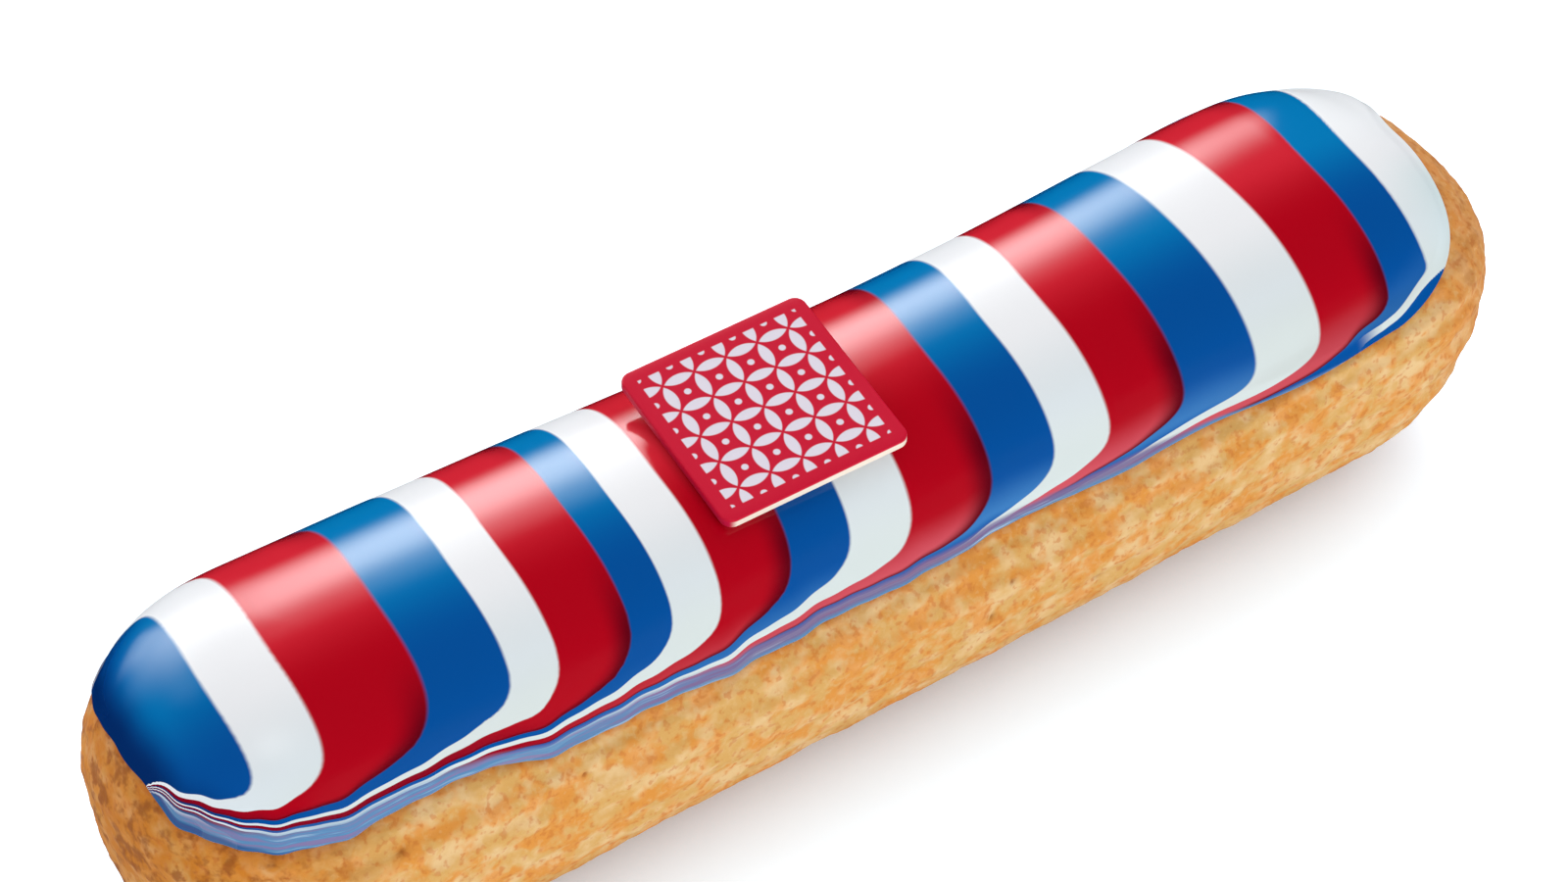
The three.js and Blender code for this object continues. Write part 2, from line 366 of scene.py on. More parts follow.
def makeChoux():
    # bun section swept round the spine, moved along its normals by ridges, wrinkles, lumps, crumb and pits
    station = stationsRound(choux["columns"])
    rim = rimAngle(station)
    foot = np.radians(choux["footAngle"])
    upTo = rim + np.radians(choux["underIcing"])
    base = np.linspace(-np.pi / 2, foot, choux["baseRows"], endpoint=False)[:, None] + 0 * rim
    side = blend(foot, upTo, np.linspace(0, 1, choux["sideRows"], endpoint=False)[:, None])
    crown = blend(upTo, np.pi / 2, np.linspace(0, 1, choux["crownRows"])[:, None])
    angle = np.concatenate([base, side, crown])
    shown = ramp(angle, foot, 0) * ramp(rim - angle, 0, np.radians(choux["ridgeFade"]))
    ridge = choux["ridgeHeight"] * np.cos(2 * np.pi * angle / np.radians(choux["ridgeSpacing"])) * shown
    ridge = ridge * blend(1, choux["ridgeAtTips"], station["endShare"])
    points = sectionPoints(station, angle, bunRadius(station, angle) + ridge)

    streak = lapPlace(station, climbLength(points))
    wrinkle = grainNoise(streak / np.array(choux["wrinkleSizes"]), choux["wrinkleSeed"])
    relief = choux["wrinkleHeight"] * wrinkle
    relief += choux["lumpHeight"] * grainNoise(points / choux["lumpSize"], choux["lumpSeed"])
    relief += choux["crumbHeight"] * grainNoise(points / choux["crumbSize"], choux["crumbSeed"])

    dice = np.random.default_rng(choux["pitSeed"])
    lowest = choux["baseRows"] + choux["pitMargin"][0]
    highest = choux["baseRows"] + choux["sideRows"] - choux["pitMargin"][1]
    pitRows = dice.integers(lowest, highest, choux["pitCount"])
    pitColumns = dice.integers(0, choux["columns"], choux["pitCount"])
    pitRadii = dice.uniform(*choux["pitRadius"], choux["pitCount"])
    pit = np.zeros(angle.shape)
    for row, column, radius in zip(pitRows, pitColumns, pitRadii):
        away = np.linalg.norm(streak - streak[row, column], axis=-1)
        pit = np.maximum(pit, np.exp(-(away / radius) ** 2))
    relief -= choux["pitDepth"] * pit

    standing = ramp(angle, foot, foot + np.radians(choux["footFade"]))
    points = points + outwardNormals(points) * (relief * standing)[..., None]
    points[..., 2] = np.maximum(points[..., 2], 0)
    belowRim = np.maximum(rim - angle, 0) * choux["width"] / 2
    return ringMesh("Choux", points, {"streakPlace": streak, "pit": pit, "belowRim": belowRim})


def blotchNoises(streak, noises):
    # a broad and a fine noise that run on round the bun
    return [streak.shifted(offset).stretched(sizes).noise(*choux["plainNoise"]) for offset, sizes in noises]


def makeCrustMaterial():
    # golden crust with orange and cream blotches and brown and pale specks, browner at the ends, at the foot
    # and in pits, with painted shade just under the icing's rim
    material, surface, start = newMaterial("bakedCrust")
    place = start.placeInMm()
    x = place.axis("X")
    z = place.axis("Z")
    streak = start.attribute("streakPlace", "Vector")
    pit = start.attribute("pit")
    belowRim = start.attribute("belowRim")

    grain = place.stretched(choux["grainSizes"]).noise(*choux["plainNoise"])
    mottle = place.stretched(choux["mottleSizes"]).noise(*choux["mottleNoise"])
    orangeBroad, orangeFine = blotchNoises(streak, choux["orangeNoises"])
    creamBroad, creamFine = blotchNoises(streak, choux["creamNoises"])
    broadWeight, fineWeight, grainWeight = choux["blotchWeights"]
    grained = grain * grainWeight
    orangeParts = (orangeBroad * broadWeight + orangeFine * fineWeight + grained).ramp(*choux["orangeCut"])
    creamParts = (creamBroad * broadWeight + creamFine * fineWeight + grained).ramp(*choux["creamCut"])
    leftEnd = x.ramp(*choux["leftAlong"])
    rightEnd = x.ramp(*choux["rightAlong"])
    # the foot is browner; just under the icing's rim the crust is darkened as painted shade
    footBrowningAndRimShade = z.ramp(*choux["footHeight"]) * choux["footStrength"]
    footBrowningAndRimShade = footBrowningAndRimShade + belowRim.ramp(*choux["rimShadeHeight"]) * choux["rimShadeStrength"]

    colour = creamParts.tint(choux["golden"], choux["cream"])
    colour = (orangeParts * choux["orangeStrength"]).tint(colour, choux["orange"])
    even, blotched = choux["leftStrength"]
    browned = orangeFine.ramp(*choux["leftCut"]) * blotched + even
    colour = (leftEnd * browned).tint(colour, choux["leftEnd"])
    colour = (rightEnd * choux["rightStrength"]).tint(colour, choux["rightEnd"])
    even, mottled = choux["edgeMottle"]
    colour = (footBrowningAndRimShade * (even + mottle * mottled)).tint(colour, choux["redBrown"])
    colour = (grain.ramp(*choux["speckCut"]) * choux["speckStrength"]).tint(colour, choux["redBrown"])
    paleSpecks = grain.ramp(*choux["paleSpeckCut"]) * (1 - leftEnd)
    colour = (paleSpecks * choux["paleSpeckStrength"]).tint(colour, choux["cream"])
    mottleWeight, grainWeight = choux["endMottleWeights"]
    endMottle = (mottle * mottleWeight + grain * grainWeight).ramp(*choux["endMottleCut"])
    leftStrength, rightStrength = choux["endMottleStrength"]
    endMottle = endMottle * (leftEnd * leftStrength + rightEnd * rightStrength)
    colour = endMottle.tint(colour, choux["darkBrown"])
    colour = (pit * choux["pitStrength"]).tint(colour, choux["darkBrown"])
    joinTo(surface, "Base Color", colour)

    bump = {"Strength": choux["bumpStrength"], "Distance": choux["bumpDepth"] * mm, "Height": grain + mottle}
    joinTo(surface, "Normal", start.node("ShaderNodeBump", {}, bump))
    surface.inputs["Roughness"].default_value = choux["roughness"]
    surface.inputs["Specular IOR Level"].default_value = choux["gloss"]
    return material


plaque = {
    # form, in mm and degrees
    "size": 19.8, "thickness": 1.1, "corner": 1.2, "bevel": 0.22,
    "place": (-6.5, -1.0, 35.65), "lean": 6.5, "roll": -2.8, "turn": -2.2,
    "edgePoints": 20, "cornerPoints": 12, "bevelRings": 6, "baseRings": 6, "faceRings": 14,
    "seatMargin": 2.0, "seatSoftness": 0.25,  # of its bed in the icing
    # print
    "margin": 1.4, "cells": 5, "petalRadius": 0.665, "dotRadius": 0.1, "edge": 0.02,  # radii in cells
    "faceDepth": (0.3, 0.15),  # mm below the face where its red starts and is full
    "redSide": (1.2, 0.4),  # mm from the left edge where the cream sides turn red
    "red": paint(196, 6, 46), "white": paint(216, 210, 222), "cream": paint(232, 214, 196),
    "sideRed": paint(190, 20, 60),
    "roughness": 0.35, "gloss": 0.2,
}


def plaqueTurn():
    # lean about X, roll about Y and turn about Z, as one matrix
    lean = Euler([math.radians(plaque[key]) for key in ("lean", "roll", "turn")], "YXZ")
    return np.array(lean.to_matrix())


def squareOutline(inset):
    # square with round corners: one side and one corner, turned round four times
    half = plaque["size"] / 2 - inset
    radius = plaque["corner"] - inset
    straight = half - radius
    climb = np.linspace(-straight, straight, plaque["edgePoints"], endpoint=False)
    sweep = np.linspace(0, np.pi / 2, plaque["cornerPoints"], endpoint=False)
    side = np.stack([np.full(climb.shape, half), climb], axis=-1)
    corner = straight + radius * np.stack([np.cos(sweep), np.sin(sweep)], axis=-1)
    quarter = np.concatenate([side, corner])
    turns = [np.array([[c, s], [-s, c]]) for c, s in ((1, 0), (0, 1), (-1, 0), (0, -1))]
    return np.concatenate([quarter @ turn for turn in turns])


def makePlaque():
    # rings from the middle of the underside, round the bevelled edge, to the middle of the face
    bevel = plaque["bevel"]
    top = plaque["thickness"]
    bend = np.linspace(0, np.pi / 2, plaque["bevelRings"])
    lower = [(share, bevel, 0.0) for share in np.linspace(0, 1, plaque["baseRings"], endpoint=False)]
    lowerBevel = [(1.0, bevel * (1 - math.sin(t)), bevel * (1 - math.cos(t))) for t in bend]
    upperBevel = [(1.0, bevel * (1 - math.cos(t)), top - bevel * (1 - math.sin(t))) for t in bend]
    face = [(share, bevel, top) for share in np.linspace(1, 0, plaque["faceRings"])[1:]]
    rings = []
    for share, inset, height in lower + lowerBevel + upperBevel + face:
        flat = squareOutline(inset) * share
        rings.append(np.concatenate([flat, np.full((len(flat), 1), height)], axis=-1))
    local = np.stack(rings)
    points = local @ plaqueTurn().T + np.array(plaque["place"])
    return ringMesh("Plaque", points, {"plaquePlace": local})


def makePlaqueMaterial():
    # white petals where two circles of a square lattice overlap, and a dot on each lattice point
    material, surface, start = newMaterial("plaqueChocolate")
    place = start.attribute("plaquePlace", "Vector")
    cells = plaque["cells"]
    field = plaque["size"] - 2 * plaque["margin"]
    inCells = place.shifted((field / 2, field / 2, 0.0)).stretched((field / cells, field / cells, 1.0))
    x = inCells.axis("X")
    y = inCells.axis("Y")
    # fold each cell on to the eighth next to its lattice point
    foldX = start.math("PINGPONG", x, 0.5)
    foldY = start.math("PINGPONG", y, 0.5)
    longer = start.math("MAXIMUM", foldX, foldY)
    shorter = start.math("MINIMUM", foldX, foldY)
    opposite = 1 - longer
    petalAway = start.math("SQRT", opposite * opposite + shorter * shorter, 0.0)
    dotAway = start.math("SQRT", longer * longer + shorter * shorter, 0.0)
    edge = plaque["edge"]
    petals = petalAway.ramp(plaque["petalRadius"] + edge, plaque["petalRadius"] - edge)
    dots = dotAway.ramp(plaque["dotRadius"] + edge, plaque["dotRadius"] - edge)
    awayX = start.math("ABSOLUTE", x - cells / 2, 0.0)
    awayY = start.math("ABSOLUTE", y - cells / 2, 0.0)
    inside = start.math("MAXIMUM", awayX, awayY).ramp(cells / 2 + edge, cells / 2 - edge)
    top = place.axis("Z").ramp(*(plaque["thickness"] - depth for depth in plaque["faceDepth"]))
    figure = start.math("MAXIMUM", petals, dots) * inside * top
    leftSide = place.axis("X").ramp(*(away - plaque["size"] / 2 for away in plaque["redSide"]))
    side = leftSide.tint(plaque["cream"], plaque["sideRed"])
    colour = figure.tint(top.tint(side, plaque["red"]), plaque["white"])
    joinTo(surface, "Base Color", colour)
    surface.inputs["Roughness"].default_value = plaque["roughness"]
    surface.inputs["Specular IOR Level"].default_value = plaque["gloss"]
    return material


icing = {
    # form, lengths in mm
    "height": 35.8,
    "width": (0.935, 0.945, 0.93), "roundness": (2.3, 2.7, 2.15),  # side, left end, right end
    "narrowing": 0.045,  # what the side's width loses towards the right
    "gap": 0.028, "rimThickness": 0.028, "rimBlend": 0.02,  # shares of the radius
    "rimAngle": 20.4,  # degrees above the widest level
    "stepFrom": -36.0, "stepTo": -49.0,
    # step at the left, climb to the left and right tips, and how closely each climb keeps to its tip
    "rimFront": {"step": 9.0, "climb": (5.2, 30.0), "spread": (10.0, 0.52)},
    "rimBack": {"step": 6.0, "climb": (8.2, 30.0), "spread": (7.0, 4.0)},
    "sagDepth": 4.3, "sagPlace": 49.0, "sagReach": 11.0,
    "waves": ((0.9, 6, -0.4), (0.7, 16, 0.6)),  # height, waves, start
    "drips": ((0.4, 37, 0.9), (0.3, 53, 2.2), (0.2, 89, 4.0)),  # the same, calm towards the right end
    "dripsAlong": (0.75, 0.35),  # sweep from the left tip where they are calm and where they are full
    "columns": 800, "innerRows": 6, "beadRows": 8, "fineRows": 46, "domeRows": 30,
    "fineHeight": 14.0,  # degrees above the bead that have fine rows
    "beadHeight": 1.7, "liftReach": 11.46,  # degrees of the bead, and over which the inner skin lifts off
    "beadSink": 0.02, "thinning": 0.018, "thinningReach": 8.0,
    "swell": 0.1, "swellSize": 15.0, "swellSeed": 17,  # low waves of the coat, in mm
    "ripple": 0.14, "rippleLength": 9.0, "rippleSeed": 13,  # waves of the lines along the rim, in mm
    # stripe borders along the spine, in mm: blue, white, red and so on from the left tip
    "borders": (-74.5, -65.4, -59.0, -48.2, -40.5, -35.8, -28.2, -24.0, -18.8, -10.8, -4.5, 2.0, 10.9, 17.9,
                24.0, 32.5, 40.7, 48.3, 56.7, 61.8),
    # past the last border the count of borders goes back from white to blue: place, count
    "afterLast": ((69.0, 19.6), (76.0, 19.0), (112.0, 18.3)),
    "lastTail": (0.78, 0.832), "lastTailFade": 0.05,  # where along the rim the last white fades to blue
    # how far the borders lie to the right on the far side, against x, and where across it comes in
    "farShift": ((-80.0, 1.1), (-25.0, 1.1), (30.0, 1.1), (40.0, 0.1), (49.0, 0.1), (57.0, 1.4),
                 (80.0, 1.9)),
    "farSide": (-4.0, 13.0),
    # how the stripes are dragged along the rim, from the left tip (0) to the right tip (1)
    "dragLength": ((0.0, 80.0), (0.04, 78.0), (0.1, 60.0), (0.2, 46.0), (0.3, 45.0), (0.42, 47.0),
                   (0.5, 45.0), (0.6, 34.0), (0.68, 24.0), (0.74, 19.0), (0.78, 15.0), (0.79, 17.0),
                   (0.803, 34.0), (0.82, 40.0), (1.0, 40.0)),
    "dragHeight": ((0.0, 0.02), (0.01, 0.02), (0.02, 1.8), (0.04, 3.2), (0.07, 3.55), (0.1, 3.8),
                   (0.15, 4.0), (0.2, 3.45), (0.25, 3.25), (0.3, 3.1), (0.36, 2.6), (0.42, 2.3),
                   (0.48, 1.65), (0.54, 1.25), (0.6, 1.76), (0.66, 2.12), (0.72, 1.89), (0.78, 2.06),
                   (0.79, 2.0), (0.81, 1.7), (0.85, 1.92), (0.865, 1.3), (0.88, 0.4), (0.9, 0.03),
                   (1.0, 0.02)),
    "dragSharpness": ((0.0, 9.0), (0.04, 9.0), (0.1, 6.5), (0.2, 4.0), (0.3, 3.8), (0.42, 2.95),
                      (0.54, 2.5), (0.61, 3.4), (0.66, 4.3), (0.76, 4.1), (0.82, 5.0), (0.85, 8.0),
                      (1.0, 8.0)),
    # height of the pale marbled band along the rim, in mm
    "paleReach": ((0.0, 0.1), (0.01, 0.3), (0.02, 1.6), (0.04, 2.9), (0.07, 3.2), (0.1, 3.5), (0.18, 3.4),
                  (0.25, 2.7), (0.3, 2.9), (0.36, 2.7), (0.42, 2.35), (0.48, 2.3), (0.55, 2.2), (0.6, 2.2),
                  (0.65, 2.3), (0.69, 1.6), (0.72, 1.3), (0.76, 1.4), (0.79, 0.9), (0.81, 0.1), (0.84, 0.1),
                  (1.0, 0.1)),
    "paleFade": (0.75, 1.03), "paleStrength": 0.97,  # shares of that height where it starts to fade and ends
    "leastDrag": 0.02, "leastPale": 0.05, "leastDistance": 0.01,  # mm
    # on the far side both shrink round the left tip, by how far the outline has turned
    "dragBehind": (0.95, 0.2), "paleBehind": (0.35, 0.05),
    # top of the dark blue line at the very edge, in mm
    "edgeLine": ((0.0, 2.0), (0.06, 2.0), (0.1, 1.6), (0.14, 1.3), (0.2, 1.15), (0.3, 0.6), (1.0, 0.6)),
    "edgeLineFade": 0.35, "edgeLineStrength": 0.8,
    # how strongly a painted reflection of the floor pales the colours towards the rim, and between which
    # heights, in mm
    "rimFloorReflection": ((0.0, 0.0), (0.25, 0.0), (0.35, 0.25), (0.5, 0.5), (0.6, 0.5), (0.72, 0.45), (0.8, 0.35),
                (0.86, 0.1), (0.9, 0.0), (1.0, 0.0)),
    "reflectionHeight": (2.2, 6.2), "blueReflectionHeight": (1.8, 3.0),
    # painted shade: dark blue round the left tip, and dark red tails along the left of the rim
    "tipAround": (0.3, 0.8), "tipHeight": (2.2, 7.0),
    "tailAlong": (0.18, 0.34), "tailHeight": (3.6, 5.6), "tailStrength": 0.75,
    # colours, among them painted light and shade: lit tops, shaded lows and a reflected pink and pale blue
    "blue": paint(0, 76, 150), "litTopBlue": paint(0, 118, 180), "tipShadeBlue": paint(0, 40, 98),
    "red": paint(172, 0, 22), "litTopRed": paint(205, 34, 50), "shadedRed": paint(92, 0, 18),
    "white": paint(216, 223, 226), "litUpperWhite": paint(232, 233, 236), "shadedLowWhite": paint(205, 212, 209),
    "shadedCoolWhite": paint(204, 219, 221), "litFarWhite": paint(240, 242, 245),
    "reflectedPink": paint(226, 112, 124), "reflectedPaleBlue": paint(86, 150, 204), "shadedMaroon": paint(112, 4, 30),
    "lightBlue": paint(84, 132, 172), "lavender": paint(128, 116, 156), "plum": paint(124, 90, 128),
    "rimWhite": paint(182, 200, 216), "rimBlue": paint(10, 76, 132),
    # where the painted top light on the red and blue comes in across the top, ends on the far side and
    # rises, in mm
    "redAcross": (-9.0, 1.0), "blueAcross": (-11.0, 1.0),
    "topLightEnd": (18.0, 12.0), "topLightHeight": (29.5, 33.5),
    "leftAlong": (-60.0, -68.0), "leftTopLightLoss": 0.2,  # the left end has less of them
    # painted shade: red darkens low down before a blue
    "shadeCount": (0.12, 0.5), "shadeHeight": (35.6, 31.0),  # deep red before a blue, low down
    # where the painted light and shade on the white come in, across and along
    "upperWhiteAcross": (-12.5, -4.0), "lowWhiteAcross": (-11.5, -15.5),
    "coolWhiteAlong": (60.0, 70.0), "coolWhiteAcross": (-2.0, -9.0),
    "farWhiteAlong": (52.0, 62.0), "farWhiteAcross": (-5.0, 3.0),
    # marbling of the pale band
    "marbleSizes": (11.0, 11.0, 0.3), "marbleNoise": (3.0, 0.6),
    "lavenderCut": (0.44, 0.6), "lavenderHeight": (1.0, 1.5),
    "middleAlong": (-40.0, -15.0), "middleStrength": 0.8,  # more lavender and plum from the middle on
    "rimWhiteCut": (0.45, 0.28), "rimWhiteStrength": 0.65,
    "edgeSoftness": 0.03, "redToBlueSoftness": 0.06,
    "roughness": 0.12, "whiteRoughness": 0.28, "refraction": 1.5,
}


def coatRadius(station, angle):
    # the higher of a dome and a lip over the bun, joined by a smooth maximum
    tall = (icing["height"] - station["equator"]) / (choux["height"] - station["equator"])
    side = icing["width"][0] - icing["narrowing"] * station["climb"]
    wide = blend(side, np.where(station["left"], icing["width"][1], icing["width"][2]), station["endShare"])
    dome = ovalRadius(angle, endwise(icing["roundness"], station), wide, tall)
    lip = bunRadius(station, angle) + icing["gap"] + icing["rimThickness"]
    return (dome + lip + np.sqrt((dome - lip) ** 2 + icing["rimBlend"] ** 2)) / 2


def rimAngle(station):
    # the icing's lower edge: level, with a step up at the left, a climb to each tip, a sag near the right,
    # waves and drips
    stepped = 1 - ramp(station["spineX"], icing["stepTo"], icing["stepFrom"])
    sag = icing["sagDepth"] * np.exp(-((station["spineX"] - icing["sagPlace"]) / icing["sagReach"]) ** 2)
    rises = []
    for side in (icing["rimFront"], icing["rimBack"]):
        pairs = zip(side["climb"], side["spread"])
        climbs = [climb * station["endShare"] ** spread for climb, spread in pairs]
        rises.append(side["step"] * stepped + np.where(station["left"], *climbs))
    angle = icing["rimAngle"] - sag + np.where(station["outY"] > 0, rises[1], rises[0])
    lively = ramp(station["sweep"], *icing["dripsAlong"])
    swings = [(1, wave) for wave in icing["waves"]] + [(lively, drip) for drip in icing["drips"]]
    for share, (height, waves, start) in swings:
        angle = angle + share * height * np.sin(2 * np.pi * waves * station["trip"] + start)
    return np.radians(angle)


def pressSeat(points):
    # under the plaque the coat is pressed down to the plaque's underside, by a smooth minimum
    turned = plaqueTurn()
    local = (points - np.array(plaque["place"])) @ turned
    outside = np.maximum(np.abs(local[..., 0]), np.abs(local[..., 1])) - plaque["size"] / 2
    height = local[..., 2]
    pressed = (height - np.sqrt(height ** 2 + plaque["seatSoftness"] ** 2)) / 2
    local[..., 2] = blend(pressed, height, ramp(outside, 0, plaque["seatMargin"]))
    return local @ turned.T + np.array(plaque["place"])


def stripeAttributes(station, skin):
    # A stripe keeps its place on the dome and is dragged along the bun close to the rim:
    # place = x + length / (1 + (distance / height) ^ sharpness). Its count comes from the borders passed.
    sweep = station["sweep"]
    rimDistance = climbLength(skin)
    wavy = rimDistance + icing["ripple"] * grainNoise(skin / icing["rippleLength"], icing["rippleSeed"])
    behind = (station["outY"] > 0) & (station["spineX"] < 0)

    def bandHeight(knots, least, fadeBehind):
        # height above the rim, which shrinks round the left tip on the far side
        height = np.maximum(throughKnots(sweep, knots), least)
        shrunk = np.maximum(height * ramp(station["endShare"], *fadeBehind), least)
        return np.where(behind, shrunk, height)

    height = bandHeight(icing["dragHeight"], icing["leastDrag"], icing["dragBehind"])
    sharpness = throughKnots(sweep, icing["dragSharpness"])
    nearRim = np.maximum(wavy, icing["leastDistance"]) / height
    dragged = throughKnots(sweep, icing["dragLength"]) / (1 + nearRim ** sharpness)
    farShift = throughKnots(skin[..., 0], icing["farShift"]) * ramp(skin[..., 1], *icing["farSide"])
    counted = [(border, count) for count, border in enumerate(icing["borders"])]
    counts = np.array(counted + list(icing["afterLast"]))
    phase = np.interp(skin[..., 0] - farShift + dragged, *counts.T)
    tailWhite = 2 * ramp(sweep, *icing["lastTail"]) - 1
    phase = np.minimum(phase, len(icing["borders"]) - 1 + icing["lastTailFade"] * tailWhite)

    reach = bandHeight(icing["paleReach"], icing["leastPale"], icing["paleBehind"])
    fadeFrom, fadeTo = icing["paleFade"]
    # painted shade round the left tip, low on the coat
    tipShade = np.where(station["left"], ramp(station["endShare"], *icing["tipAround"]), 0)
    # painted reflection of the floor, low on the coat towards the right
    reflectionShare = np.maximum(throughKnots(sweep, icing["rimFloorReflection"]), 0)
    lineTop = throughKnots(sweep, icing["edgeLine"])
    tail = 1 - ramp(sweep, *icing["tailAlong"])
    return {
        "stripePhase": phase,
        "rimPale": 1 - ramp(wavy, fadeFrom * reach, fadeTo * reach),
        "leftTipShade": tipShade * (1 - ramp(rimDistance, *icing["tipHeight"])),
        "rimFloorReflection": reflectionShare * (1 - ramp(rimDistance, *icing["reflectionHeight"])),
        "edgeLine": 1 - ramp(rimDistance, lineTop - icing["edgeLineFade"], lineTop),
        "tailShade": tail * (1 - ramp(rimDistance, *icing["tailHeight"])),
        "rimPlace": lapPlace(station, wavy),
    }


def makeIcing():
    # coat section swept round the spine: inner skin down, rounded bead at the rim, outer dome up
    station = stationsRound(icing["columns"])
    rim = rimAngle(station)
    beadTop = rim + np.radians(icing["beadHeight"])
    fineTop = beadTop + np.radians(icing["fineHeight"])
    thinReach = np.radians(icing["thinningReach"])

    inner = blend(np.pi / 2, rim, np.linspace(0, 1, icing["innerRows"], endpoint=False)[:, None])
    lifted = ramp(inner - rim, 0, np.radians(icing["liftReach"]))
    innerRadius = bunRadius(station, inner) + blend(-icing["beadSink"], icing["gap"], lifted)

    quarter = np.linspace(np.pi / 2, 0, icing["beadRows"], endpoint=False)[:, None]
    bead = blend(beadTop, rim, np.sin(quarter))
    sunk = bunRadius(station, bead) - icing["beadSink"]
    beadOuter = coatRadius(station, beadTop) - icing["thinning"]
    beadRadius = blend(sunk, beadOuter, np.cos(quarter))

    fine = blend(beadTop, fineTop, np.linspace(0, 1, icing["fineRows"], endpoint=False)[:, None])
    dome = blend(fineTop, np.pi / 2, np.linspace(0, 1, icing["domeRows"])[:, None])
    outer = np.concatenate([fine, dome])
    thinner = 1 - ramp(outer - beadTop, 0, thinReach)
    outerRadius = coatRadius(station, outer) - icing["thinning"] * thinner

    angle = np.concatenate([inner, bead, outer])
    radius = np.concatenate([innerRadius, beadRadius, outerRadius])
    points = sectionPoints(station, angle, radius)
    away = ramp(angle - beadTop, 0, thinReach)
    away[:icing["innerRows"]] = 0
    swell = icing["swell"] * grainNoise(points / icing["swellSize"], icing["swellSeed"]) * away
    points = pressSeat(sectionPoints(station, angle, radius + swell / (choux["width"] / 2)))

    attributes = {}
    for label, values in stripeAttributes(station, points[icing["innerRows"]:]).items():
        hidden = np.zeros((icing["innerRows"], *values.shape[1:]))  # the inner skin carries none of them
        attributes[label] = np.concatenate([hidden, values])
    return ringMesh("Icing", points, attributes)


def makeGlazeMaterial():
    # colour by count in the blue, white, red order, with painted light on top and painted shade low down;
    # red takes painted shade before the next blue, a painted floor reflection pales the rim, and the stripes
    # run into fine light blue, lavender, plum and white streaks along it
    material, surface, start = newMaterial("stripedGlaze")
    place = start.placeInMm()
    x = place.axis("X")
    y = place.axis("Y")
    z = place.axis("Z")
    rimFloorReflection = start.attribute("rimFloorReflection")
    rimPlace = start.attribute("rimPlace", "Vector")
    rimDistance = rimPlace.axis("Z")

    # painted light: red and blue lighter across the top and towards the far side, less so at the left end
    upper = y.ramp(*icing["topLightEnd"]) * z.ramp(*icing["topLightHeight"])
    upper = upper * (1 - x.ramp(*icing["leftAlong"]) * icing["leftTopLightLoss"])
    redCrown = y.ramp(*icing["redAcross"])
    red = (redCrown * redCrown * upper).tint(icing["red"], icing["litTopRed"])
    # painted reflection of the floor: red turns pink towards the rim
    red = rimFloorReflection.tint(red, icing["reflectedPink"])
    # painted shade: red darkens to maroon low along the left of the rim
    red = (start.attribute("tailShade") * icing["tailStrength"]).tint(red, icing["shadedMaroon"])
    blueCrown = y.ramp(*icing["blueAcross"])
    blue = (blueCrown * blueCrown * upper).tint(icing["blue"], icing["litTopBlue"])
    # painted reflection of the floor: blue turns pale towards the rim
    blue = (rimFloorReflection * rimDistance.ramp(*icing["blueReflectionHeight"])).tint(blue, icing["reflectedPaleBlue"])
    # painted shade: blue darkens round the left tip, low down
    blue = start.attribute("leftTipShade").tint(blue, icing["tipShadeBlue"])
    # painted light and shade on the white: lighter on top, darker low down, greyer low on the right end and
    # lighter on its top
    white = y.ramp(*icing["upperWhiteAcross"]).tint(icing["white"], icing["litUpperWhite"])
    white = y.ramp(*icing["lowWhiteAcross"]).tint(white, icing["shadedLowWhite"])
    cool = x.ramp(*icing["coolWhiteAlong"]) * y.ramp(*icing["coolWhiteAcross"])
    far = x.ramp(*icing["farWhiteAlong"]) * y.ramp(*icing["farWhiteAcross"])
    white = far.tint(cool.tint(white, icing["shadedCoolWhite"]), icing["litFarWhite"])

    turn = (start.attribute("stripePhase") + 0.5) % 3.0  # half of a red, blue, white, half of a red
    soft = icing["edgeSoftness"]
    run = icing["redToBlueSoftness"] / 2
    isBlue = turn.ramp(0.5 - run, 0.5 + run)
    isWhite = turn.ramp(1.5 - soft, 1.5 + soft)
    isRed = turn.ramp(2.5 - soft, 2.5 + soft)
    # painted shade on the red before each blue, low down
    shade = turn.ramp(*icing["shadeCount"]) * z.ramp(*icing["shadeHeight"])
    colour = isBlue.tint(shade.tint(red, icing["shadedRed"]), blue)
    colour = isRed.tint(isWhite.tint(colour, white), red)

    marble = rimPlace.stretched(icing["marbleSizes"]).noise(*icing["marbleNoise"])
    middle = x.ramp(*icing["middleAlong"]) * icing["middleStrength"]
    streaked = start.math("MAXIMUM", marble.ramp(*icing["lavenderCut"]), middle)
    streaked = streaked * rimDistance.ramp(*icing["lavenderHeight"])
    pale = streaked.tint(icing["lightBlue"], middle.tint(icing["lavender"], icing["plum"]))
    rimWhite = marble.ramp(*icing["rimWhiteCut"]) * icing["rimWhiteStrength"]
    pale = rimWhite.tint(pale, icing["rimWhite"])
    pale = (start.attribute("edgeLine") * icing["edgeLineStrength"]).tint(pale, icing["rimBlue"])
    colour = (start.attribute("rimPale") * icing["paleStrength"]).tint(colour, pale)
    joinTo(surface, "Base Color", colour)
    roughness = icing["roughness"] + (isWhite - isRed) * (icing["whiteRoughness"] - icing["roughness"])
    joinTo(surface, "Roughness", roughness)
    surface.inputs["IOR"].default_value = icing["refraction"]
    return material


finishPiece(makeChoux(), makeCrustMaterial(), "choux")
print("choux done")
finishPiece(makeIcing(), makeGlazeMaterial(), "icing")
print("icing done")
finishPiece(makePlaque(), makePlaqueMaterial(), "plaque")
print("plaque done")

